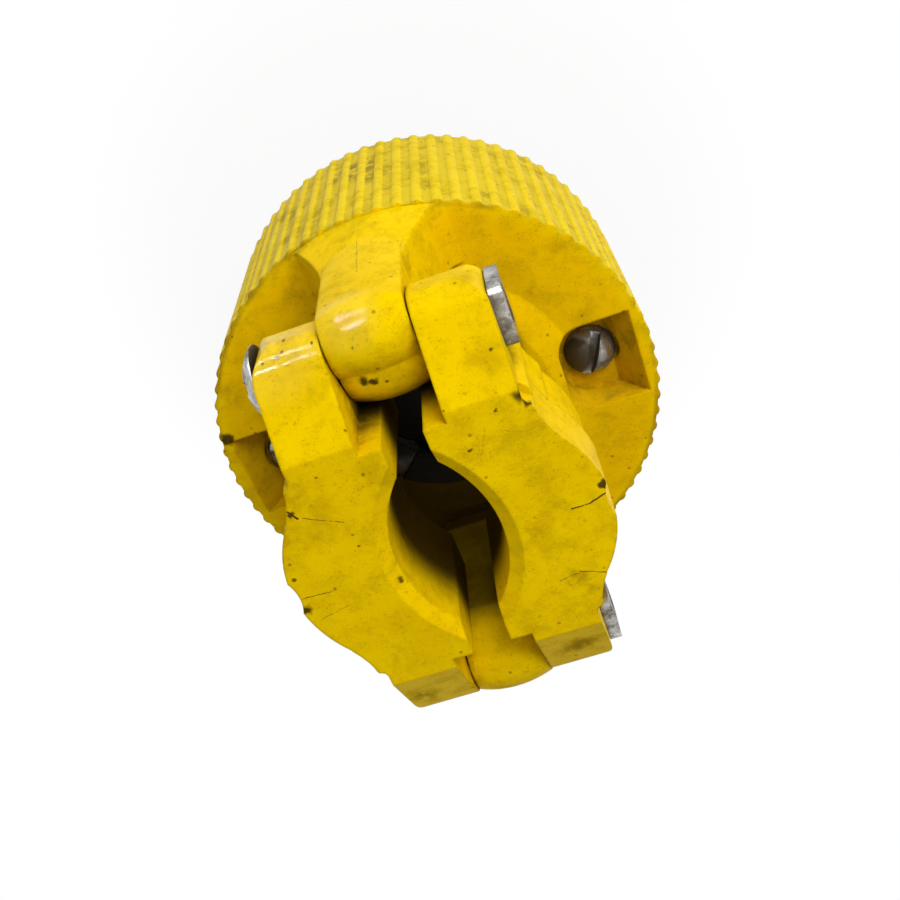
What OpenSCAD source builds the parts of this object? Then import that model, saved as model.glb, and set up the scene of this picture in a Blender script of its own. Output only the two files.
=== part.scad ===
// Locking power plug with a two-piece cord clamp.
// The blade tips stand on the ground plane and the cord end points up.

/* [Housing] */
// Diameter over the ribs
housing_d = 56.2; // [55:0.2:60]
// Length of the ribbed skirt
skirt_len = 27.5; // [26:0.5:34]
// How far the ribs stand out
rib_h = 0.3; // [0.2:0.05:0.5]
// Radius of one rib
rib_r = 0.95; // [0.7:0.05:1]
// Number of ribs round the skirt
rib_count = 76; // [60:2:80]
// Wall of the skirt under the ribs
skirt_wall = 2.7; // [2.2:0.1:3]
// Thickness of the rear wall
rear_wall = 5; // [4.5:0.5:7]
// Diameter of the cord hole
cord_hole_d = 27; // [22:0.5:28]
// Diameter at the foot of the raised collar
collar_d = 38; // [35:0.5:39]
// Height of the raised collar
collar_h = 1.6; // [0.8:0.2:2.4]

/* [Lugs] */
// Width of a lug
lug_w = 9; // [8:0.25:10]
// Height of a lug at its edges
lug_h = 23.3; // [22.9:0.1:24.2]
// Distance of a lug's outer face from the rim
lug_edge = 1.2; // [1:0.1:1.8]
// Depth of a lug from its outer to its inner face
lug_depth = 12; // [11.4:0.1:12]
// Rounding of the outer top corner
lug_outer_r = 4.2; // [3:0.2:5]
// Rounding of the inner top corner
lug_inner_r = 6.5; // [5:0.25:7.5]
// How far each foot flares to the side
flare_w = 5.2; // [3:0.2:5.6]
// How far up the flare reaches
flare_h = 12; // [8:0.5:13]

/* [Jaws] */
// Gap between the two jaws
jaw_gap = 4.54; // [3.5:0.1:5.5]
// Height of the jaw face above the rear face
jaw_face = 27.9; // [27.5:0.1:31]
// Depth of a jaw
jaw_depth = 16.1; // [15.5:0.1:17]
// Gap between the end of a jaw block and a lug
block_play = 0.6; // [0.5:0.1:1.2]
// How far a tab ends short of the lug's outer face
tab_short = 1.4; // [0.7:0.1:1.6]
// Distance from the middle to the outer face of a tab
tab_out = 12.3; // [11.8:0.1:12.8]
// Radius of the bulge on the outer side
bulge_r = 14.95; // [14.4:0.1:15.6]
// Distance from the middle to the axis of the bulge
bulge_off = 2.7; // [2.2:0.1:3.2]
// Radius of the cord seat
seat_r = 15.4; // [14.8:0.1:15.8]
// Deepest reach of the cord seat
seat_reach = 6; // [5.4:0.1:6.6]
// How far the clamp screw side sits off the middle
jaw_shift = 0.4; // [0:0.1:0.4]

/* [Clamp screws and nuts] */
// Distance of a clamp screw from the lug's outer face
clamp_inset = 6.4; // [6.2:0.1:6.8]
// Height of the clamp screws above the rear face
clamp_h = 19.4; // [18.8:0.1:19.6]
// Diameter of a clamp screw
clamp_d = 4.1; // [3.6:0.1:4.2]
// Diameter of its head
clamp_head_d = 8.6; // [7.4:0.1:8.8]
// Height of its head
clamp_head_h = 2.1; // [1.6:0.1:2.6]
// Width of the square nut
nut_w = 6.4; // [6.2:0.1:7]
// Thickness of the square nut
nut_t = 1.4; // [1.2:0.1:2.2]

/* [Assembly screws] */
// Distance of an assembly screw from the rim
assembly_inset = 7.6; // [7.6:0.1:8]
// Diameter of an assembly screw
assembly_d = 3.5; // [3:0.1:3.6]
// Diameter of its head
assembly_head_d = 6.6; // [6.2:0.1:7]
// Height of its head
assembly_head_h = 3; // [2.6:0.1:3.2]
// Depth of the head seat below the rear face
pocket_seat = 4.8; // [4.2:0.1:5]
// Width of a screw pocket
pocket_w = 11.6; // [10:0.2:12.4]

/* [Front insulator and blades] */
// Length of the blades in front of the contact face
blade_len = 19.5; // [17:0.5:21]
// Diameter of the circle the blades stand on
blade_circle_d = 28.5; // [27.5:0.25:29]
// Thickness of a blade
blade_t = 1.65; // [1.4:0.05:1.8]
// Angle a power blade spans
blade_deg = 44; // [36:1:48]
// Angle the grounding blade spans
ground_deg = 54; // [48:1:58]
// How far the contact face stands out of the skirt
carrier_stand = 4.5; // [3:0.25:5]
// Height of the front insulator
carrier_h = 9.5; // [8.5:0.25:10]
// Height of the terminal block
block_h = 7; // [6:0.5:7.5]

/* [Terminals] */
// Diameter of a terminal screw
term_d = 3.9; // [3.4:0.1:4.1]
// Diameter of its head
term_head_d = 6.4; // [5.8:0.1:6.6]
// Height of its head
term_head_h = 1.9; // [1.4:0.1:2.2]
// Thickness of a pressure plate
plate_t = 1.4; // [1:0.1:1.6]

/* [Hidden] */
$fn = 96;
round_gap = 0.3;
fit_gap = 0.06;
bore_gap = 0.65;
blade_gap = 0.35;

root_r = housing_d / 2 - rib_h;
cavity_r = root_r - skirt_wall;
assembly_x = housing_d / 2 - assembly_inset;
carrier_r = cavity_r - round_gap;
face_z = blade_len;
rim_z = face_z + carrier_stand;
rear_z = rim_z + skirt_len;
inner_z = rear_z - rear_wall;
block_z = face_z + carrier_h;
block_top = block_z + block_h;

pocket_in = assembly_x - assembly_head_d / 2 - 0.7;
pocket_out = root_r - 1.6;
seat_z = rear_z - pocket_seat;
boss_z = seat_z - 3.7;
post_r = cavity_r - round_gap - assembly_x;
insert_r = assembly_d / 2 + 0.85;
insert_len = 8;

lug_out = housing_d / 2 - lug_edge;
lug_in = lug_out - lug_depth;
clamp_y = lug_out - clamp_inset;
tab_gap = 0.2;
jaw_bottom = jaw_face - jaw_depth;
half_gap = jaw_gap / 2;
lug_x = lug_w / 2;
tab_in = lug_x + tab_gap;
block_y = lug_in - block_play;
tab_y = lug_out - tab_short;
seat_off = seat_r - seat_reach;
shelf_h = jaw_depth * 0.44;

blade_in = blade_circle_d / 2 - blade_t / 2;
blade_out = blade_circle_d / 2 + blade_t / 2;
tab_t = 1.6;
tab_top = block_top + 0.4;
tab_w = term_head_d + 1.2;
term_r = blade_out + 2.525;
tab_r = term_r + 3;
term_len = 6;
plate_w = term_head_d + 0.4;
blade_turn = 45;

yellow = [0.93, 0.80, 0.02];
steel = [0.62, 0.62, 0.60];
brass = [0.72, 0.56, 0.25];
nickel = [0.66, 0.64, 0.58];
green = [0.10, 0.38, 0.16];
black = [0.07, 0.07, 0.07];
umber = [0.16, 0.14, 0.12];

// Shared shapes

module both_x() {
    children();
    mirror([1, 0, 0]) children();
}

module both_y() {
    children();
    mirror([0, 1, 0]) children();
}

// Angle of the power blades and of the grounding blade
function blade_angle(i) = blade_turn + 90 * i;

// Housing

module skirt_outline() {
    circle(r = root_r, $fn = 152);
    for (i = [0 : rib_count - 1])
        rotate(i * 360 / rib_count)
            translate([housing_d / 2 - rib_r, 0]) circle(r = rib_r, $fn = 20);
}

module lug_side() {
    union() {
        translate([lug_in + lug_inner_r - 1, lug_h - lug_inner_r]) circle(r = lug_inner_r);
        translate([lug_out - lug_outer_r, lug_h - lug_outer_r + 1.2]) circle(r = lug_outer_r);
        polygon([
            [lug_in - 1, -2],
            [lug_out, -2],
            [lug_out, lug_h - lug_outer_r + 1.2],
            [lug_out - lug_outer_r, lug_h + 1.2],
            [lug_in + lug_inner_r - 1, lug_h],
            [lug_in - 1, lug_h - lug_inner_r]
        ]);
    }
}

// Side profile, turned about a low axis so that its top is crowned, and round in front
module lug_column() {
    crown_z = lug_h - 9.5;
    front_r = lug_w * 1.5;
    intersection() {
        union() {
            translate([-lug_x, 0, 0]) rotate([90, 0, 90]) linear_extrude(height = lug_w)
                intersection() {
                    lug_side();
                    translate([0, -2]) square([lug_out + 1, crown_z + 2]);
                }
            translate([0, 0, crown_z]) rotate([-90, 0, 0]) rotate_extrude() intersection() {
                translate([-crown_z, 0]) mirror([1, -1]) lug_side();
                square([lug_h, lug_out + 1]);
            }
        }
        translate([-lug_x, lug_in, -2]) cube([lug_w, lug_depth + 1, lug_h + 5]);
        union() {
            translate([0, lug_out - front_r, -2]) cylinder(r = front_r, h = lug_h + 5);
            translate([-lug_w, 0, -2]) cube([2 * lug_w, lug_out - front_r, lug_h + 5]);
        }
    }
}

module flare_outline() {
    polygon(concat(
        [[-0.01, -1.5], [-0.01, flare_h]],
        [for (a = [0 : 6])
            [lug_x + 0.72 * flare_w * pow(a / 6, 1.6), flare_h * (1 - a / 6) + 0.5 * pow(a / 6, 2)]],
        [[lug_x + flare_w, 0], [lug_x + flare_w, -1.5]]
    ));
}

// Foot of a lug, spreading to the sides and out to the rim
module lug_flare() {
    foot_h = 0.7 * flare_h;
    intersection() {
        translate([0, lug_out + 1, 0]) rotate([90, 0, 0])
            linear_extrude(height = lug_out - lug_in - 2.6) flare_outline();
        union() {
            translate([0, 0, -2]) cylinder(r = root_r - 0.1, h = 2, $fn = 180);
            cylinder(r1 = root_r - 0.1, r2 = lug_out - 0.5, h = foot_h, $fn = 180);
            translate([0, 0, foot_h]) cylinder(r = lug_out - 0.5, h = flare_h, $fn = 180);
        }
    }
}

module pocket_outline() {
    r = 3.4;
    h = pocket_w / 2;
    union() {
        translate([pocket_in + r, -h]) square([30, 2 * h]);
        translate([pocket_in, -h + r]) square([30, 2 * h - 2 * r]);
        translate([pocket_in + r, h - r]) circle(r = r, $fn = 48);
        translate([pocket_in + r, -h + r]) circle(r = r, $fn = 48);
    }
}

// Recess round an assembly screw: a flat floor, then a ramp up to the rim
module screw_pocket() {
    ramp_x = assembly_x + assembly_head_d * 0.4;
    slope = atan(pocket_seat / (pocket_out - ramp_x));
    intersection() {
        translate([0, 0, seat_z]) linear_extrude(height = 12) pocket_outline();
        translate([pocket_out, 0, rear_z])
            rotate([0, 180 - slope, 0])
            translate([-12, -pocket_w, -24]) cube([52, 2 * pocket_w, 24]);
    }
    translate([assembly_x, 0, seat_z]) cylinder(r = assembly_head_d / 2 + 0.35, h = 12, $fn = 64);
    translate([assembly_x, 0, boss_z - 1]) cylinder(d = assembly_d + 2 * bore_gap, h = 20, $fn = 48);
}

module housing() {
    color(yellow) difference() {
        union() {
            difference() {
                translate([0, 0, rim_z]) linear_extrude(height = skirt_len) skirt_outline();
                translate([0, 0, rim_z - 1]) cylinder(r = cavity_r, h = inner_z - rim_z + 1);
            }
            translate([0, 0, rear_z - 0.5])
                cylinder(r1 = collar_d / 2 + 0.9, r2 = cord_hole_d / 2 + 1.6, h = collar_h + 0.5);
            both_y() translate([0, 0, rear_z]) {
                lug_column();
                both_x() lug_flare();
            }
            both_x() intersection() {
                translate([assembly_x, 0, boss_z])
                    cylinder(r = pocket_w / 2 + 1.4, h = inner_z - boss_z + 1);
                translate([0, 0, boss_z]) cylinder(r = root_r - 1, h = 20);
            }
        }
        translate([0, 0, inner_z - 10]) cylinder(d = cord_hole_d, h = 30);
        both_x() screw_pocket();
        for (s = [-1, 1])
            translate([-20, s * clamp_y, rear_z + clamp_h])
                rotate([0, 90, 0]) cylinder(d = clamp_d + 2 * bore_gap, h = 40, $fn = 48);
    }
}

// Clamp jaws

// Outer side of a jaw seen from the cord end; inset draws it in under the face
module jaw_outline(inset) {
    corner_r = 2.8;
    w = tab_out - inset * 0.4;
    y = block_y;
    difference() {
        union() {
            intersection() {
                translate([bulge_off, 0]) circle(r = bulge_r - inset);
                translate([half_gap, -y]) square([40, 2 * y]);
            }
            for (s = [0, 1]) mirror([0, s]) polygon([
                [half_gap, -0.01], [half_gap, y], [tab_in, y], [tab_in, tab_y],
                [tab_out - corner_r, tab_y], [tab_out, tab_y - corner_r], [tab_out, y - 0.3],
                [w + 0.15, y - 0.75], [w + 0.45, y - 0.98], [w + 0.75, y - 1.05],
                [w + 0.92, y - 1.4], [w + 1.02, y - 2.1], [w + 1.25, y - 2.9],
                [w + 1.75, y - 4.1], [w + 2.4, y - 5.3], [w + 2.4, -0.01]
            ]);
            for (s = [-1, 1])
                translate([tab_out - corner_r, s * (tab_y - corner_r)]) circle(r = corner_r, $fn = 48);
            // Fillet beside the tab, kept below the face
            if (inset > 0) for (s = [-1, 1])
                translate([tab_out - 0.5, s * (y - 1)]) circle(r = 1.5, $fn = 32);
        }
        translate([bulge_off + bulge_r + 4.7, 0]) circle(r = 5.3 + inset * 0.3);
    }
}

// Side profile of a jaw: flat face, tabs sloping down to rounded ends
module jaw_side() {
    end_r = 3.6;
    end_z = jaw_face - 7.2;
    c = tab_y - end_r;
    for (s = [0, 1]) mirror([s, 0]) {
        polygon([
            [-0.01, jaw_bottom], [block_y + 0.6, jaw_bottom], [block_y + 5, jaw_bottom + 1.4],
            [tab_y - 0.4, end_z - end_r + 0.6], [tab_y, end_z],
            [c + end_r * 0.447, end_z + end_r * 0.894], [block_y + 1.2, jaw_face],
            [-0.01, jaw_face]
        ]);
        translate([c, end_z]) circle(r = end_r);
    }
}

module jaw_body() {
    intersection() {
        union() {
            translate([0, 0, jaw_face - shelf_h]) linear_extrude(height = shelf_h) jaw_outline(0);
            translate([0, 0, jaw_bottom]) linear_extrude(height = jaw_depth - 2.6) jaw_outline(0.8);
        }
        rotate([90, 0, 90]) linear_extrude(height = 30) jaw_side();
    }
}

module jaw() {
    difference() {
        jaw_body();
        // Cord seat, drawn in a little toward its lower end
        translate([-seat_off, 0, jaw_bottom - 1])
            cylinder(r1 = seat_r - 0.6, r2 = seat_r, h = jaw_depth + 2, $fn = 180);
        translate([-seat_off, 0, jaw_face - 1.1])
            cylinder(r1 = seat_r, r2 = seat_r + 2.8, h = 2.2, $fn = 180);
        for (s = [-1, 1])
            translate([0, s * clamp_y, clamp_h])
                rotate([0, 90, 0]) cylinder(d = clamp_d + 2 * bore_gap, h = 30, $fn = 48);
    }
}

module jaw_right() {
    color(yellow) translate([0, 0, rear_z]) jaw();
}

module jaw_left() {
    color(yellow) translate([0, -jaw_shift, rear_z]) mirror([1, 0, 0]) jaw();
}

// Clamp screws and nuts

module clamp_screw(s) {
    head_r = clamp_head_d / 2;
    dome_r = clamp_head_d * 0.66;
    color(steel) translate([0, s * clamp_y, rear_z + clamp_h]) difference() {
        union() {
            translate([-tab_out, 0, 0]) rotate([0, 90, 0])
                cylinder(d = clamp_d, h = 2 * tab_out + nut_t - 0.1, $fn = 48);
            translate([-tab_out, 0, 0]) rotate([0, -90, 0]) intersection() {
                cylinder(r = head_r, h = clamp_head_h, $fn = 64);
                translate([0, 0, clamp_head_h - dome_r]) sphere(r = dome_r, $fn = 96);
            }
        }
        translate([-tab_out - clamp_head_h - 1, 0, 0])
            rotate([s * -30, 0, 0]) translate([0, -0.65, -8]) cube([1.9, 1.3, 16]);
    }
}

module clamp_nut(s) {
    color(steel) translate([tab_out, s * clamp_y, rear_z + clamp_h])
        rotate([0, 90, 0]) difference() {
            intersection() {
                translate([-nut_w / 2, -nut_w / 2, 0]) cube([nut_w, nut_w, nut_t]);
                cylinder(r = nut_w * 0.66, h = nut_t, $fn = 64);
            }
            translate([0, 0, -1]) cylinder(d = clamp_d + 2 * fit_gap, h = nut_t + 2, $fn = 48);
        }
}

// Assembly screws and the inserts they run into

module assembly_screw(turn) {
    dome_r = assembly_head_d * 0.52;
    color(steel) translate([0, 0, seat_z]) difference() {
        union() {
            intersection() {
                cylinder(d = assembly_head_d, h = assembly_head_h, $fn = 64);
                translate([0, 0, assembly_head_h - dome_r]) sphere(r = dome_r, $fn = 96);
            }
            translate([0, 0, boss_z - seat_z - insert_len + 0.5])
                cylinder(d = assembly_d, h = seat_z - boss_z + insert_len, $fn = 48);
        }
        rotate(turn) translate([-0.65, -8, assembly_head_h - 1.7]) cube([1.3, 16, 3]);
    }
}

module insert() {
    color(brass) translate([0, 0, boss_z - insert_len]) difference() {
        cylinder(r = insert_r, h = insert_len, $fn = 48);
        translate([0, 0, -1]) cylinder(d = assembly_d + 2 * fit_gap, h = insert_len + 2, $fn = 48);
    }
}

// Front insulator, terminal block

// Part of a ring, centred on the X axis
module sector(deg, r1, r2) {
    a = deg / 2;
    intersection() {
        difference() {
            circle(r = r2, $fn = 144);
            circle(r = r1, $fn = 144);
        }
        polygon([[0, 0], [40 * cos(a), -40 * sin(a)], [60, 0], [40 * cos(a), 40 * sin(a)]]);
    }
}

// Opening for the upright part of one blade
module blade_slot(deg) {
    translate([0, 0, -1]) linear_extrude(height = 60)
        sector(deg + 2.4, blade_in - blade_gap, blade_out + blade_gap);
}

function blade_span(i) = i == 3 ? ground_deg : blade_deg;

module blade_carrier() {
    color(black) difference() {
        translate([0, 0, face_z]) union() {
            cylinder(r = carrier_r, h = carrier_h);
        }
        for (i = [0 : 3]) rotate(blade_angle(i)) {
            blade_slot(blade_span(i));
            translate([0, 0, block_z - 2]) linear_extrude(height = 10)
                sector(blade_span(i) + 8, blade_in - 2.3, blade_out + 2.3);
        }
        // Flats in the middle for the mould gate
        translate([0, 0, face_z - 0.01]) cylinder(r = 3, h = 0.6);
    }
}

module terminal_block() {
    color(umber) difference() {
        union() {
            translate([0, 0, block_z]) cylinder(r = carrier_r - 0.4, h = block_h);
            both_x() translate([assembly_x, 0, block_z]) cylinder(r = post_r, h = boss_z - block_z);
            for (a = [0, 90])
                rotate(a) translate([-9, -0.9, block_top - 1]) cube([18, 1.8, 4.2]);
        }
        for (i = [0 : 3]) rotate(blade_angle(i)) {
            blade_slot(blade_span(i));
            // Bed of the terminal tab and clearance under its screw
            translate([blade_in - blade_gap, -tab_w / 2 - 0.3, tab_top - tab_t])
                cube([tab_r - blade_in + 2 * blade_gap, tab_w + 0.6, 20]);
            translate([term_r, 0, block_z + 1.2]) cylinder(d = term_d + 1.2, h = 20, $fn = 48);
        }
        for (s = [-1, 1]) translate([s * assembly_x, 0, boss_z - insert_len])
            cylinder(r = insert_r + fit_gap, h = 20, $fn = 48);
        for (s = [-1, 1]) translate([s * assembly_x, 0, boss_z - insert_len - 1.5])
            cylinder(d = assembly_d + 1.2, h = 20, $fn = 48);
    }
}

// Blades

module blade_arc(deg, off, z1, z2, grow) {
    translate([0, 0, z1]) rotate(off) linear_extrude(height = z2 - z1)
        sector(deg, blade_in - grow, blade_out + grow);
}

module blade(i) {
    deg = blade_span(i);
    rotate(blade_angle(i)) difference() {
        union() {
            blade_arc(deg, 0, 0, block_z - 0.5, 0);
            // Shoulder held between carrier and block
            blade_arc(deg + 4, 0, block_z - 2, block_z, 1.3);
            // Narrow stem up to the terminal tab
            blade_arc(26, 0, block_z - 1, tab_top - 0.5, 0);
            translate([blade_in + 0.2, -tab_w / 2, tab_top - tab_t])
                cube([tab_r - blade_in, tab_w, tab_t]);
            // The grounding blade is bent inward at its tip
            if (i == 3) blade_arc(16, ground_deg / 2 - 8.5, 0, 1.6, 1.4);
        }
        // Locking notch above the tip
        blade_arc(20, (i == 3 ? -1 : 1) * (deg / 2 - 1), 5.2, face_z - 3.4, 1);
        translate([term_r, 0, tab_top - tab_t - 1]) cylinder(d = term_d + 2 * fit_gap, h = 9, $fn = 48);
    }
}

module clamp_plate(i) {
    rotate(blade_angle(i)) translate([term_r, 0, tab_top]) difference() {
        intersection() {
            translate([-plate_w / 2, -plate_w / 2, 0]) cube([plate_w - 0.5, plate_w, plate_t]);
            cylinder(r = plate_w * 0.63, h = plate_t, $fn = 48);
        }
        translate([0, 0, -1]) cylinder(d = term_d + 2 * fit_gap + 0.3, h = 2 * term_len, $fn = 48);
        for (s = [-1, 1])
            translate([-plate_w, s * plate_w * 0.405, -0.1])
                rotate([0, 90, 0]) cylinder(r = 0.35, h = 2 * plate_w, $fn = 24);
    }
}

module terminal_screw(i) {
    dome_r = term_head_d * 1.1;
    rotate(blade_angle(i)) translate([term_r, 0, tab_top + plate_t]) difference() {
        union() {
            intersection() {
                cylinder(d = term_head_d, h = term_head_h, $fn = 64);
                translate([0, 0, term_head_h - dome_r]) sphere(r = dome_r, $fn = 96);
            }
            translate([0, 0, -term_len]) cylinder(d = term_d, h = term_len + 0.5, $fn = 48);
        }
        rotate(20 + 50 * i) translate([-0.55, -8, term_head_h - 1]) cube([1.1, 16, 3]);
    }
}

// Nodes

module clamp_screw_top() { clamp_screw(1); }
module clamp_screw_bottom() { clamp_screw(-1); }
module clamp_nut_top() { clamp_nut(1); }
module clamp_nut_bottom() { clamp_nut(-1); }
module assembly_screw_left() { translate([-assembly_x, 0, 0]) assembly_screw(60); }
module assembly_screw_right() { translate([assembly_x, 0, 0]) assembly_screw(-26); }
module insert_left() { translate([-assembly_x, 0, 0]) insert(); }
module insert_right() { translate([assembly_x, 0, 0]) insert(); }
module blade_x() { color(brass) blade(0); }
module blade_y() { color(brass) blade(1); }
module blade_z() { color(nickel) blade(2); }
module blade_ground() { color(nickel) blade(3); }
module clamp_plate_x() { color(brass) clamp_plate(0); }
module clamp_plate_y() { color(brass) clamp_plate(1); }
module clamp_plate_z() { color(nickel) clamp_plate(2); }
module clamp_plate_ground() { color(green) clamp_plate(3); }
module terminal_screw_x() { color(brass) terminal_screw(0); }
module terminal_screw_y() { color(brass) terminal_screw(1); }
module terminal_screw_z() { color(nickel) terminal_screw(2); }
module terminal_screw_ground() { color(green) terminal_screw(3); }

housing();
jaw_left();
jaw_right();
clamp_screw_top();
clamp_screw_bottom();
clamp_nut_top();
clamp_nut_bottom();
assembly_screw_left();
assembly_screw_right();
blade_carrier();
terminal_block();
blade_x();
blade_y();
blade_z();
blade_ground();
clamp_plate_x();
clamp_plate_y();
clamp_plate_z();
clamp_plate_ground();
terminal_screw_x();
terminal_screw_y();
terminal_screw_z();
terminal_screw_ground();
insert_left();
insert_right();
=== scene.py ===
import bpy
from mathutils import Matrix, Vector


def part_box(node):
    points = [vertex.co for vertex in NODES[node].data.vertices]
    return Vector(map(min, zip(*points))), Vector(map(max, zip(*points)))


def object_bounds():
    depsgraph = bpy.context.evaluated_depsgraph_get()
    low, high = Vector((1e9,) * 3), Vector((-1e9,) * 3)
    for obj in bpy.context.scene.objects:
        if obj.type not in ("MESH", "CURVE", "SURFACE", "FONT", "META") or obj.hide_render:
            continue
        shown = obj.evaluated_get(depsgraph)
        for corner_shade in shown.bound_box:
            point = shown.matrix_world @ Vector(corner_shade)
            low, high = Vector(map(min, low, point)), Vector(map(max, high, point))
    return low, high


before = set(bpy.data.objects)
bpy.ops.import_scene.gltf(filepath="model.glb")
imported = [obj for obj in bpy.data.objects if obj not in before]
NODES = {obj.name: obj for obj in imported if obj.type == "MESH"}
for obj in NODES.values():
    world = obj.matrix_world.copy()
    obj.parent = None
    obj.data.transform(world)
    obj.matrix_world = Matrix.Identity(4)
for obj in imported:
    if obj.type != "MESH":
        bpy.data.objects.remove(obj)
CAD_LO, CAD_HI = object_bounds()
scene = bpy.context.scene
MM = 0.001

# Places that the marks and the dirt are tied to, from the CAD nodes, in millimetres
HOUSING_LO, HOUSING_HI = [Vector(c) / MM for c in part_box("housing")]
RADIUS = HOUSING_HI.x
FRONT_RIM = HOUSING_LO.z
REAR_FACE = 51.5
JAW_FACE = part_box("jaw_right")[1][2] / MM
HOUSE_LIGHT = 0.38        # of the world on matt surfaces; the camera and mirrors see 1
FLOOR_GAP = 0.2 * MM


# ---------------------------------------------------------------- materials

class Graph:
    """A material's node tree, with short calls for the nodes used here."""

    def __init__(self, name):
        self.material = bpy.data.materials.new(name)
        self.material.use_nodes = True
        self.tree = self.material.node_tree
        self.tree.nodes.clear()

    def add(self, kind, inputs=None, **props):
        made = self.tree.nodes.new("ShaderNode" + kind)
        for key, value in props.items():
            setattr(made, key, value)
        for key, value in (inputs or {}).items():
            self.put(made.inputs[key], value)
        return made

    def put(self, socket, value):
        if isinstance(value, bpy.types.NodeSocket):
            self.tree.links.new(value, socket)
        elif isinstance(value, tuple) and len(value) == 3 and len(socket.default_value) == 4:
            socket.default_value = (*value, 1)
        else:
            socket.default_value = value

    def math(self, op, a, b=0.0, clamp=False):
        return self.add("Math", {0: a, 1: b}, operation=op, use_clamp=clamp).outputs[0]

    def vector(self, op, a, b=(0, 0, 0)):
        made = self.add("VectorMath", {0: a, 1: b}, operation=op)
        return made.outputs["Value" if op in ("DISTANCE", "LENGTH", "DOT_PRODUCT") else "Vector"]

    def scaled(self, a, by):
        return self.add("VectorMath", {0: a, "Scale": by}, operation="SCALE").outputs["Vector"]

    def band(self, x, start, end, low=0.0, high=1.0):
        """x goes smoothly from low at start to high at end, also where end is below start."""
        made = self.add("MapRange", {0: x, 1: start, 2: end, 3: low, 4: high},
                        interpolation_type="SMOOTHSTEP")
        return made.outputs[0]

    def mix(self, share, a, b):
        made = self.add("Mix", {"Factor": share}, data_type="RGBA")
        self.put(made.inputs[6], a)
        self.put(made.inputs[7], b)
        return made.outputs[2]

    def noise(self, at, scale, detail=4.0, rough=0.55):
        made = self.add("TexNoise", {"Vector": at, "Scale": scale, "Detail": detail,
                                     "Roughness": rough})
        return made.outputs["Fac"]

    def place(self):
        """The point in the row frame, in millimetres."""
        return self.scaled(self.add("TexCoord").outputs["Object"], 1000.0)

    def shifted(self, at, scale, by):
        """at, pushed about by noise, so that a round mark comes out ragged."""
        made = self.add("TexNoise", {"Vector": at, "Scale": scale, "Detail": 3.0})
        push = self.vector("SUBTRACT", made.outputs["Color"], (0.5, 0.5, 0.5))
        push = self.scaled(push, by)
        return self.vector("ADD", at, push)

    def fade(self, far, radius, strength):
        """strength at distance 0, and nothing beyond the radius."""
        made = self.add("Math", {0: far, 1: -strength / radius, 2: strength},
                        operation="MULTIPLY_ADD")
        return made.outputs[0]

    def largest(self, values):
        total = None
        for one in values:
            total = one if total is None else self.math("MAXIMUM", total, one)
        return total

    def spots(self, at, rows, full=0.45):
        """Round marks. A row is x, y, z, radius, strength."""
        found = [self.fade(self.vector("DISTANCE", at, (x, y, z)), radius, strength)
                 for x, y, z, radius, strength in rows]
        return self.band(self.largest(found), 0.0, full)

    def lines(self, at, rows, full=0.5):
        """Thin marks. A row is the two ends, width, strength."""
        found = []
        for start, end, width, strength in rows:
            a, along = Vector(start), Vector(end) - Vector(start)
            off = self.vector("SUBTRACT", at, tuple(a))
            share = self.math("MULTIPLY", self.vector("DOT_PRODUCT", off, tuple(along)),
                              1 / along.length_squared, clamp=True)
            nearest = self.add("VectorMath", {0: tuple(along), "Scale": share},
                               operation="SCALE").outputs["Vector"]
            found.append(self.fade(self.vector("DISTANCE", off, nearest), width, strength))
        return self.band(self.largest(found), 0.0, full)

    def apart(self, at):
        """x, y, z of the point, and its distance from the plug's axis."""
        x, y, z = self.add("SeparateXYZ", {0: at}).outputs
        flat = self.add("CombineXYZ", {0: x, 1: y, 2: 0.0}).outputs[0]
        return x, y, z, self.vector("LENGTH", flat)

    def hole_shade(self, at):
        """1 in the dark space behind the cord hole, where the colour is painted near black as shade,
        and 0 elsewhere.
        """
        _, _, height, reach = self.apart(at)
        return self.math("MULTIPLY", self.band(reach, 17.0, 14.5),
                         self.band(height, FRONT_RIM + 3.0, FRONT_RIM + 8.0))

    def finish(self, shader):
        out = self.add("OutputMaterial")
        self.tree.links.new(shader.outputs[0], out.inputs["Surface"])
        return self.material


# Small dark pits and specks: x, y, z, radius, strength
PITS = [
    (-8.3, 25.1, 72.4, 0.32, 0.8), (-5.4, 24.6, 74.0, 0.32, 0.7), (-8.4, 24.6, 74.0, 0.28, 0.8),
    (-9.1, 24.4, 74.4, 0.36, 0.7), (-10.7, 24.4, 74.4, 0.28, 0.6), (-1.5, 23.3, 75.8, 0.24, 0.6),
    (0.0, 18.3, 74.4, 0.28, 0.8), (3.6, 26.6, 69.1, 0.24, 0.6), (-8.6, 5.3, 79.4, 0.28, 0.7),
    (-8.5, 3.8, 79.4, 0.24, 0.7), (-16.6, 2.1, 79.4, 0.40, 0.9), (-6.3, -2.6, 78.7, 0.44, 0.9),
    (11.3, 25.2, 73.7, 0.28, 0.7), (11.0, 19.5, 77.4, 0.32, 0.7), (9.6, 14.0, 79.4, 0.28, 0.7),
    (5.9, 10.7, 79.4, 0.32, 0.6), (13.1, -19.1, 74.1, 0.28, 0.7), (9.9, -13.8, 79.4, 0.24, 0.6),
    (-9.3, 13.0, 79.4, 0.28, 0.5), (-4.9, 16.7, 78.6, 0.24, 0.5), (4.9, 15.6, 79.2, 0.20, 0.5),
]
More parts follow.
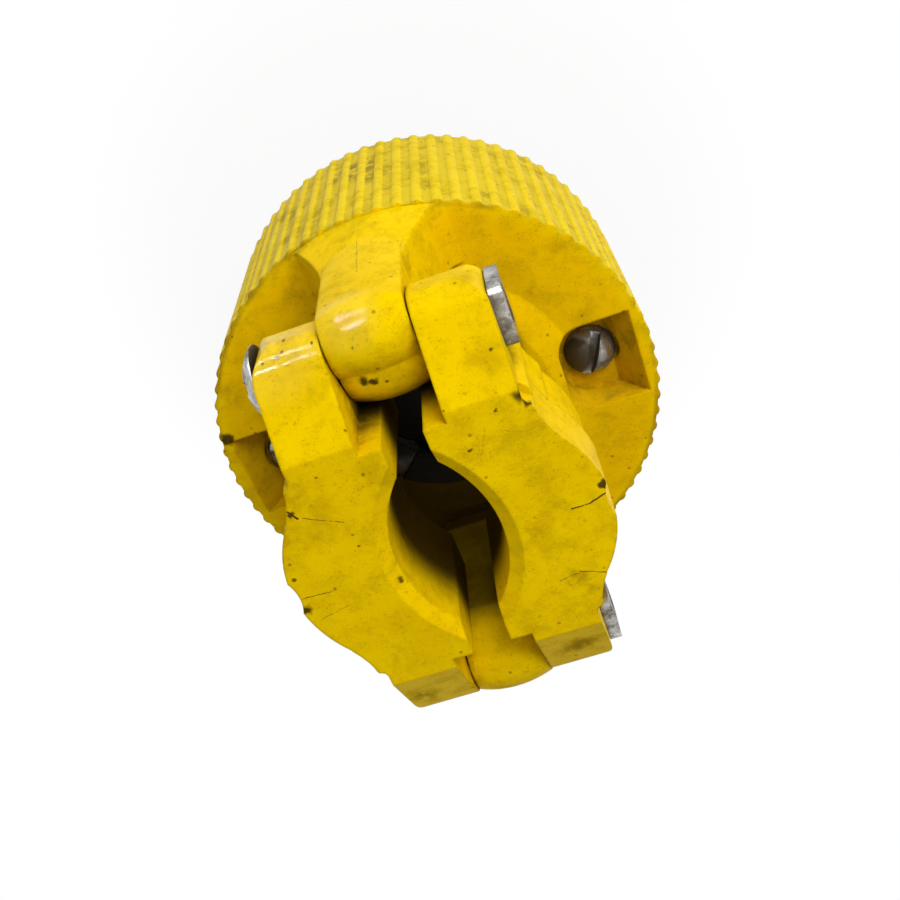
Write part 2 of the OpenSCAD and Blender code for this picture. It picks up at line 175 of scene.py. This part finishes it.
# Dark chips and grime patches with ragged edges
CHIPS = [
    (-2.2, 19.0, 74.7, 0.8, 0.8), (-1.2, 18.6, 74.6, 0.7, 0.9), (-13.5, 9.8, 79.4, 0.6, 0.8),
    (-16.9, -2.2, 79.2, 0.8, 1.0), (17.2, 2.1, 79.4, 0.7, 1.0), (-26.4, 6.3, 51.5, 1.2, 0.9),
    (12.2, 14.8, 78.9, 1.2, 0.7), (12.6, 13.5, 78.8, 0.8, 0.8), (15.7, 6.4, 71.0, 1.6, 0.8),
]
# Glossy places, rubbed by handling
POLISH = [(-10.0, 24.4, 73.4, 6.5, 1.0), (-1.4, 26.0, 74.2, 4.6, 1.0)]
# Grime on the metal pieces. The first row, on the left of the right assembly screw's head beside the
# pocket wall, is painted shade as well as grime
TARNISH_AND_SHADE = [(18.4, 0.2, 49.2, 3.6, 1.0), (-17.8, 19.2, 69.8, 4.6, 0.9), (-20.5, -1.0, 49.0, 3.0, 0.5),
           (15.5, 18.0, 68.5, 3.4, 0.8), (15.5, -22.5, 69.0, 3.0, 0.6)]
# Broad brown stains. The first two rows, in the left jaw's recess under the lug, are painted shade
# as well as stain
STAINS_AND_SHADE = [
    (-4.0, 14.6, 73.5, 4.2, 0.75), (-4.5, 13.9, 76.5, 2.6, 0.6), (-12.5, 12.0, 79.4, 2.6, 0.5),
    (-10.4, 12.6, 79.4, 2.2, 0.4), (11.5, -8.8, 79.4, 2.6, 0.55), (12.2, -10.9, 79.4, 2.2, 0.45),
    (4.6, 24.5, 62.0, 2.4, 0.6), (7.9, 25.0, 52.3, 2.6, 0.6), (-9.6, 21.8, 51.5, 3.0, 0.5),
    (-23.4, 11.3, 51.5, 3.5, 0.5), (-20.1, 16.0, 51.5, 3.0, 0.35), (20.5, 16.0, 51.5, 3.6, 0.3),
    (24.9, 9.7, 51.5, 3.0, 0.4), (-5.3, -2.0, 72.0, 3.0, 0.6), (9.2, -20.1, 77.2, 3.2, 0.8),
    (-10.2, -21.1, 76.8, 3.4, 0.8), (6.6, -19.7, 77.3, 1.8, 0.35),
    (-14.9, -0.9, 79.4, 2.2, 0.3), (-10.2, -12.6, 79.4, 3.0, 0.25), (10.6, 2.5, 79.4, 3.0, 0.2),
]
# Grime that lies in the grooves between the ribs
GROOVES = [
    (-1.0, 27.9, 33.0, 6.5, 1.0), (1.4, 27.7, 38.0, 4.0, 0.8), (-9.5, 26.4, 36.0, 5.0, 0.6),
    (-10.5, 25.8, 44.0, 4.0, 0.6), (17.0, 22.3, 33.0, 5.0, 0.35), (22.8, 15.8, 38.0, 5.0, 0.3),
    (-20.0, 19.6, 40.0, 8.0, 0.6),
]
# Scratches and hairline cracks: one end, other end, width, strength
SCRATCHES = [
    ((-13.7, 10.2, 79.4), (-13.1, 9.2, 79.4), 0.17, 1.0),
    ((-12.6, 9.0, 79.4), (-8.9, 7.1, 79.4), 0.08, 0.6),
    ((-17.0, -0.6, 79.4), (-13.0, -0.8, 79.4), 0.08, 0.6),
    ((13.4, 0.3, 79.4), (15.3, 0.3, 79.4), 0.12, 0.9),
    ((15.3, 0.3, 79.4), (17.2, 1.0, 79.4), 0.14, 1.0),
    ((12.0, -7.8, 79.4), (14.6, -8.9, 79.4), 0.09, 0.7),
    ((9.7, -8.2, 79.4), (11.8, -8.0, 79.4), 0.08, 0.5),
    ((-5.0, 3.9, 74.0), (-5.4, -2.0, 71.8), 0.22, 0.7),
    ((-5.4, -2.0, 71.8), (-3.9, -7.5, 74.0), 0.17, 0.5),
    ((-0.1, 22.7, 75.9), (-0.2, 18.8, 74.8), 0.09, 0.4),
    ((-0.3, 26.9, 56.0), (0.0, 26.9, 66.0), 0.11, 0.3),
    ((-16.2, -4.0, 79.4), (-12.5, -3.2, 79.4), 0.07, 0.4),
    ((9.3, 11.8, 79.4), (12.2, 10.4, 79.4), 0.06, 0.4),
    ((6.5, 9.0, 79.4), (8.0, 12.5, 79.4), 0.06, 0.35),
    ((-9.8, 16.3, 78.8), (-7.0, 12.0, 79.4), 0.06, 0.35),
]


def yellow_plastic():
    g = Graph("yellow_nylon")
    at = g.place()
    side, deep, height, reach = g.apart(at)

    round_edge = g.add("Bevel", {"Radius": 0.45 * MM}, samples=4).outputs[0]
    true_normal = g.add("NewGeometry").outputs["True Normal"]
    edge = g.math("SUBTRACT", 1.0, g.vector("DOT_PRODUCT", round_edge, true_normal))
    open_sky = g.add("AmbientOcclusion", {"Distance": 2.6 * MM}, samples=3).outputs["AO"]

    # Moulded colour, cloudy at two scales. Painted light tone: the housing's rear face is painted
    # warmer and the skirt more lemon, for the warmer and cooler light falling on them
    cloud = g.noise(at, 0.085, 4.0, 0.6)
    mottle = g.noise(at, 0.55, 5.0, 0.68)
    base = g.mix(g.band(cloud, 0.35, 0.7), (0.92, 0.625, 0.0), (0.84, 0.545, 0.0))
    # painted light: the rear face is painted warmer, as if lit by warmer light than the top
    rear_face_light_tone = g.math("MULTIPLY", g.band(height, 62.0, 52.0), g.band(reach, RADIUS - 0.6, RADIUS - 2.0))
    base = g.mix(g.math("MULTIPLY", rear_face_light_tone, 0.55), base, (0.84, 0.475, 0.0))
    # painted light: the skirt is painted more lemon, as if under the cooler light from above
    skirt_light_tone = g.math("MULTIPLY", g.band(height, REAR_FACE, REAR_FACE - 0.5),
                   g.band(reach, RADIUS - 1.2, RADIUS - 0.7))
    base = g.mix(skirt_light_tone, base, (0.84, 0.62, 0.0))
    base = g.mix(g.band(mottle, 0.46, 0.78, 0.0, 0.55), base, (0.66, 0.40, 0.001))

    # Film of dirt, thicker where it can gather, and painted shade in the crevices, found by
    # occlusion and mixed with dirt
    wide = g.shifted(at, 0.35, 3.0)
    film = g.band(g.noise(wide, 0.23, 6.0, 0.72), 0.44, 0.74)
    # painted shade: crevices darkened by occlusion, made patchy like dirt
    crevice_shade = g.band(open_sky, 0.72, 0.22)
    crevice_dirt_and_shade = g.math("MULTIPLY", crevice_shade, g.band(mottle, 0.30, 0.62))
    rubbed = g.math("MULTIPLY", g.band(edge, 0.02, 0.25), g.band(mottle, 0.50, 0.66))
    rim = g.math("MULTIPLY", g.band(height, REAR_FACE - 0.8, REAR_FACE - 0.1),
                 g.band(reach, RADIUS - 1.0, RADIUS - 0.4))
    rim = g.math("MULTIPLY", rim, g.band(cloud, 0.45, 0.60))
    groove = g.math("MULTIPLY", g.band(reach, RADIUS - 0.12, RADIUS - 0.27),
                    g.band(height, REAR_FACE + 0.1, REAR_FACE - 0.4))
    caked = g.math("MULTIPLY", g.spots(wide, GROOVES, 0.8), g.band(mottle, 0.36, 0.54))
    # painted shade: every groove is darkened a little all along, besides the caked grime
    groove_film_and_shade = g.band(film, 0.0, 1.0, 0.22, 0.6)
    groove_dirt_and_shade = g.math("MULTIPLY", groove, g.math("MAXIMUM", caked, groove_film_and_shade))

    # Painted shade: colour painted near black down the cord throat between the jaws, and on the
    # collar under it
    off_side = g.math("ABSOLUTE", side)
    throat_shade = g.math("MULTIPLY", g.band(off_side, 13.5, 10.5),
                    g.band(g.math("ABSOLUTE", deep), 17.5, 14.0))
    throat_shade = g.math("MULTIPLY", throat_shade, g.band(height, JAW_FACE - 2.0, REAR_FACE + 19.0))
    collar_shade = g.math("MULTIPLY", g.band(off_side, 13.5, 12.0), g.band(reach, 20.0, 18.6))
    collar_shade = g.math("MULTIPLY", collar_shade, g.band(height, REAR_FACE + 6.0, REAR_FACE + 3.0))
    throat_shade = g.math("MAXIMUM", throat_shade, collar_shade)

    # stains, and painted shade in the left jaw's recess
    stain_and_shade = g.math("MULTIPLY", g.spots(wide, STAINS_AND_SHADE, 0.9), g.band(mottle, 0.34, 0.60))
    ragged = g.shifted(at, 1.2, 1.0)
    pits = g.spots(ragged, PITS)
    chips = g.spots(ragged, CHIPS)
    scratches = g.lines(g.shifted(at, 1.1, 0.35), SCRATCHES)

    # Fine specks in some of the cells, and dust
    cells = g.add("TexVoronoi", {"Vector": at, "Scale": 0.62})
    chosen = g.band(g.add("SeparateColor", {0: cells.outputs["Color"]}).outputs[0], 0.78, 0.84)
    speck = g.math("MULTIPLY", g.band(cells.outputs["Distance"], 0.17, 0.09), chosen)
    grain = g.noise(at, 3.2, 4.0, 0.75)
    dust = g.math("MULTIPLY", g.band(grain, 0.54, 0.70), g.band(mottle, 0.34, 0.60))

    colour = g.mix(g.math("MULTIPLY", film, 0.55), base, (0.46, 0.29, 0.002))
    colour = g.mix(g.math("MULTIPLY", dust, 0.70), colour, (0.28, 0.17, 0.004))
    # painted shade and dirt in the crevices
    colour = g.mix(g.math("MULTIPLY", crevice_dirt_and_shade, 0.80), colour, (0.20, 0.10, 0.003))
    colour = g.mix(g.math("MULTIPLY", rubbed, 0.40), colour, (0.26, 0.14, 0.01))
    colour = g.mix(g.math("MULTIPLY", rim, 0.55), colour, (0.20, 0.11, 0.01))
    # caked grime and painted shade in the grooves
    colour = g.mix(g.math("MULTIPLY", groove_dirt_and_shade, 0.75), colour, (0.12, 0.085, 0.012))
    # stains, with painted shade in the left jaw's recess
    colour = g.mix(g.math("MULTIPLY", stain_and_shade, 0.80), colour, (0.20, 0.105, 0.006))
    colour = g.mix(g.math("MULTIPLY", speck, 0.60), colour, (0.16, 0.09, 0.008))
    # painted shade: near black in the throat and on the collar under the jaws
    colour = g.mix(g.math("MULTIPLY", throat_shade, 0.97), colour, (0.028, 0.014, 0.002))
    colour = g.mix(g.math("MULTIPLY", pits, 0.85), colour, (0.05, 0.022, 0.003))
    colour = g.mix(g.math("MULTIPLY", chips, 0.92), colour, (0.022, 0.015, 0.004))
    colour = g.mix(scratches, colour, (0.09, 0.05, 0.010))

    dirt = g.math("ADD", g.math("MULTIPLY", film, 0.14), g.math("MULTIPLY", stain_and_shade, 0.25))
    dirt = g.math("ADD", dirt, g.math("MULTIPLY", g.math("MAXIMUM", chips, throat_shade), 0.4))
    rough = g.math("ADD", g.band(mottle, 0.3, 0.7, 0.30, 0.42), dirt, clamp=True)

    high = g.math("ADD", g.math("MULTIPLY", g.noise(at, 1.3, 2.0, 0.5), 0.10),
                  g.math("MULTIPLY", g.noise(at, 0.16, 1.0), 0.5))
    bump = g.add("Bump", {"Height": high, "Distance": 0.30 * MM, "Strength": 0.5,
                          "Normal": round_edge}).outputs[0]

    polish = g.spots(at, POLISH, 0.6)
    shader = g.add("BsdfPrincipled", {
        "Base Color": colour, "Roughness": rough, "Normal": bump,
        "IOR": 1.5, "Specular IOR Level": 0.015, "Specular Tint": (1.0, 0.85, 0.05),
        "Coat Weight": g.math("MULTIPLY", polish, 0.4), "Coat Roughness": 0.05,
        "Coat Normal": bump,
    })
    return g.finish(shader)


def metal(name, bright, dull, grime_and_dark_reflection, rough_low, rough_high, dirty=1.0, metallic=1.0):
    """Worn metal: brushed, cloudy, with dirt and painted shade in its corners."""
    g = Graph(name)
    at = g.place()
    round_edge = g.add("Bevel", {"Radius": 0.20 * MM}, samples=4).outputs[0]
    open_sky = g.add("AmbientOcclusion", {"Distance": 1.8 * MM}, samples=4).outputs["AO"]
    cloud = g.noise(at, 0.45, 6.0, 0.7)
    grain = g.noise(g.vector("MULTIPLY", at, (0.5, 4.5, 4.5)), 1.0, 3.0, 0.6)
    grain = g.math("MULTIPLY", g.math("ADD", grain, g.noise(at, 2.6, 4.0, 0.6)), 0.5)
    patch = g.band(g.noise(g.shifted(at, 0.8, 1.5), 0.6, 7.0, 0.7), 0.47, 0.60)
    # painted shade: darker where occlusion finds corners
    corner_shade = g.band(open_sky, 0.85, 0.30)
    soil_and_shade = g.math("MAXIMUM", g.math("MULTIPLY", patch, 0.5 * dirty),
                  g.math("MULTIPLY", corner_shade, dirty), clamp=True)
    # grime, and painted shade on the right assembly screw's head
    tarnish_and_shade = g.math("MULTIPLY", g.spots(g.shifted(at, 0.9, 1.0), TARNISH_AND_SHADE, 0.35), 0.85 * dirty)
    soil_and_shade = g.math("MAXIMUM", soil_and_shade, tarnish_and_shade, clamp=True)
    colour = g.mix(g.band(cloud, 0.35, 0.7), bright, dull)
    colour = g.mix(soil_and_shade, colour, grime_and_dark_reflection)
    hole_shade = g.hole_shade(at)
    # painted shade: the metal behind the cord hole is painted near black
    colour = g.mix(g.math("MULTIPLY", hole_shade, 0.95), colour, (0.008, 0.006, 0.004))
    soil_and_shade = g.math("MAXIMUM", soil_and_shade, hole_shade)
    rough = g.math("ADD", g.band(cloud, 0.3, 0.7, rough_low, rough_high),
                   g.math("MULTIPLY", soil_and_shade, 0.25), clamp=True)
    bump = g.add("Bump", {"Height": grain, "Distance": 0.06 * MM, "Strength": 0.6,
                          "Normal": round_edge}).outputs[0]
    shine = g.math("SUBTRACT", metallic, g.math("MULTIPLY", soil_and_shade, 0.85), clamp=True)
    shader = g.add("BsdfPrincipled", {
        "Base Color": colour, "Roughness": rough, "Normal": bump, "Metallic": shine,
    })
    return g.finish(shader)


def moulded(name, light, dark, rough_low, rough_high):
    """Moulded insulator with fine filler grain."""
    g = Graph(name)
    at = g.place()
    round_edge = g.add("Bevel", {"Radius": 0.25 * MM}, samples=4).outputs[0]
    open_sky = g.add("AmbientOcclusion", {"Distance": 2.0 * MM}, samples=3).outputs["AO"]
    cloud = g.noise(at, 0.12, 5.0, 0.6)
    grain = g.noise(at, 2.4, 5.0, 0.7)
    dust = g.math("MULTIPLY", g.band(open_sky, 0.8, 0.3), g.band(grain, 0.35, 0.65))
    colour = g.mix(g.band(cloud, 0.35, 0.7), light, dark)
    colour = g.mix(g.band(grain, 0.55, 0.75, 0.0, 0.35), colour, tuple(c * 1.5 for c in light))
    colour = g.mix(g.math("MULTIPLY", dust, 0.35), colour, (0.12, 0.10, 0.07))
    # painted shade: near black behind the cord hole
    colour = g.mix(g.math("MULTIPLY", g.hole_shade(at), 0.9), colour, (0.006, 0.005, 0.004))
    rough = g.band(cloud, 0.3, 0.7, rough_low, rough_high)
    bump = g.add("Bump", {"Height": grain, "Distance": 0.05 * MM, "Strength": 0.5,
                          "Normal": round_edge}).outputs[0]
    shader = g.add("BsdfPrincipled", {"Base Color": colour, "Roughness": rough, "Normal": bump})
    return g.finish(shader)


YELLOW = yellow_plastic()
# Steel: the dark dull colour and the grime patches also stand in for dark reflections, as painted
# reflection besides wear
STEEL = metal("screw_steel", (0.60, 0.60, 0.58), (0.20, 0.195, 0.18), (0.045, 0.035, 0.018),
              0.22, 0.46, dirty=1.3)
BRASS = metal("blade_brass", (0.72, 0.52, 0.20), (0.55, 0.38, 0.14), (0.12, 0.07, 0.03),
              0.22, 0.42, dirty=0.6)
PLATED = metal("plated_brass", (0.62, 0.59, 0.52), (0.48, 0.45, 0.38), (0.10, 0.08, 0.05),
               0.24, 0.42, dirty=0.6)
GREEN = metal("green_screw", (0.03, 0.22, 0.06), (0.02, 0.14, 0.04), (0.03, 0.03, 0.02),
              0.30, 0.45, dirty=0.6, metallic=0.75)
BLACK = moulded("front_insulator", (0.022, 0.022, 0.023), (0.014, 0.014, 0.015), 0.36, 0.52)
BLOCK = moulded("terminal_block", (0.030, 0.028, 0.026), (0.018, 0.017, 0.016), 0.42, 0.58)

FINISH = {
    "housing": YELLOW, "jaw_left": YELLOW, "jaw_right": YELLOW,
    "clamp_screw_top": STEEL, "clamp_screw_bottom": STEEL,
    "clamp_nut_top": STEEL, "clamp_nut_bottom": STEEL,
    "assembly_screw_left": STEEL, "assembly_screw_right": STEEL,
    "blade_carrier": BLACK, "terminal_block": BLOCK,
    "blade_x": BRASS, "blade_y": BRASS, "blade_z": PLATED, "blade_ground": PLATED,
    "clamp_plate_x": BRASS, "clamp_plate_y": BRASS, "clamp_plate_z": PLATED,
    "clamp_plate_ground": GREEN,
    "terminal_screw_x": BRASS, "terminal_screw_y": BRASS, "terminal_screw_z": PLATED,
    "terminal_screw_ground": GREEN,
    "insert_left": BRASS, "insert_right": BRASS,
}
for name, finish in FINISH.items():
    slots = NODES[name].data.materials
    if not slots:
        slots.append(finish)
    for i in range(len(slots)):
        slots[i] = finish


# ------------------------------------------------------------------- camera

RIGHT = Vector((0.94322, -0.32910, 0.04516))
UP = Vector((0.30291, 0.79630, -0.52361))
BACK = Vector((0.13636, 0.50755, 0.85077))
lens = bpy.data.cameras.new("camera")
lens.lens = 41.98
lens.sensor_width = 36.0
lens.clip_start = 0.005
lens.clip_end = 20.0
camera = bpy.data.objects.new("camera", lens)
camera.matrix_world = (Matrix.Translation((0.018072, 0.063601, 0.166899))
                       @ Matrix((RIGHT, UP, BACK)).transposed().to_4x4())
scene.collection.objects.link(camera)
scene.camera = camera


# -------------------------------------------------------- floor and backdrop

def white_stage():
    """White to the camera and in reflections, with the object's shadow kept faint."""
    g = Graph("floor_white")
    rays = g.add("LightPath")
    seen = g.math("MAXIMUM", rays.outputs["Is Camera Ray"], rays.outputs["Is Glossy Ray"])
    seen = g.math("MAXIMUM", seen, rays.outputs["Is Transmission Ray"])
    at = g.add("TexCoord").outputs["Object"]
    tone = g.mix(g.noise(at, 3.0, 3.0), (0.84, 0.84, 0.84), (0.80, 0.80, 0.80))
    near = g.band(g.vector("LENGTH", at), 0.035, 0.060, 0.90, 1.0)
    matt = g.add("BsdfDiffuse", {"Color": tone})
    glow = g.add("Emission", {"Color": (1.0, 1.0, 1.0), "Strength": 1.0})
    share = g.math("MULTIPLY", seen, near)
    mixed = g.add("MixShader", {0: share, 1: matt.outputs[0], 2: glow.outputs[0]})
    return g.finish(mixed)


def make_floor():
    half = 3.0
    mesh = bpy.data.meshes.new("floor")
    mesh.from_pydata([(-half, -half, 0), (half, -half, 0), (half, half, 0), (-half, half, 0)],
                     [], [(0, 1, 2, 3)])
    mesh.materials.append(white_stage())
    floor = bpy.data.objects.new("floor", mesh)
    scene.collection.objects.link(floor)
    floor.location.z = CAD_LO.z - FLOOR_GAP


make_floor()


# ------------------------------------------------------------------- lights

def area_lamp(name, direction, distance, width, height, watts):
    """A rectangular lamp that looks at the middle of the part."""
    middle = (CAD_LO + CAD_HI) / 2
    data = bpy.data.lights.new(name, "AREA")
    data.shape = "RECTANGLE"
    data.size, data.size_y = width, height
    data.energy = watts
    lamp = bpy.data.objects.new(name, data)
    way = direction.normalized()
    lamp.location = middle + way * distance
    lamp.rotation_mode = "QUATERNION"
    lamp.rotation_quaternion = way.to_track_quat("Z", "Y")
    scene.collection.objects.link(lamp)
    return lamp


key = area_lamp("key", UP * 0.42 + BACK * 1.00 + RIGHT * 0.25, 0.34, 0.22, 0.22, 0.90)
key.visible_glossy = False
for name, way in (("strip_low", (-0.26, 0.95, 0.13)), ("strip_high", (-0.26, 0.78, 0.57))):
    strip = area_lamp(name, Vector(way), 0.40, 0.16, 0.004, 0.8)
    strip.visible_diffuse = False


def make_world():
    world = bpy.data.worlds.new("studio")
    world.use_nodes = True
    scene.world = world
    tree = world.node_tree
    tree.nodes.clear()
    rays = tree.nodes.new("ShaderNodeLightPath")
    seen = tree.nodes.new("ShaderNodeMath")
    seen.operation = "MAXIMUM"
    tree.links.new(rays.outputs["Is Camera Ray"], seen.inputs[0])
    tree.links.new(rays.outputs["Is Glossy Ray"], seen.inputs[1])
    also = tree.nodes.new("ShaderNodeMath")
    also.operation = "MAXIMUM"
    tree.links.new(seen.outputs[0], also.inputs[0])
    tree.links.new(rays.outputs["Is Transmission Ray"], also.inputs[1])
    level = tree.nodes.new("ShaderNodeMapRange")
    tree.links.new(also.outputs[0], level.inputs[0])
    level.inputs[3].default_value = HOUSE_LIGHT
    level.inputs[4].default_value = 1.0
    sky = tree.nodes.new("ShaderNodeBackground")
    sky.inputs[0].default_value = (1, 1, 1, 1)
    tree.links.new(level.outputs[0], sky.inputs[1])
    out = tree.nodes.new("ShaderNodeOutputWorld")
    tree.links.new(sky.outputs[0], out.inputs[0])


make_world()
scene.view_settings.view_transform = "Standard"
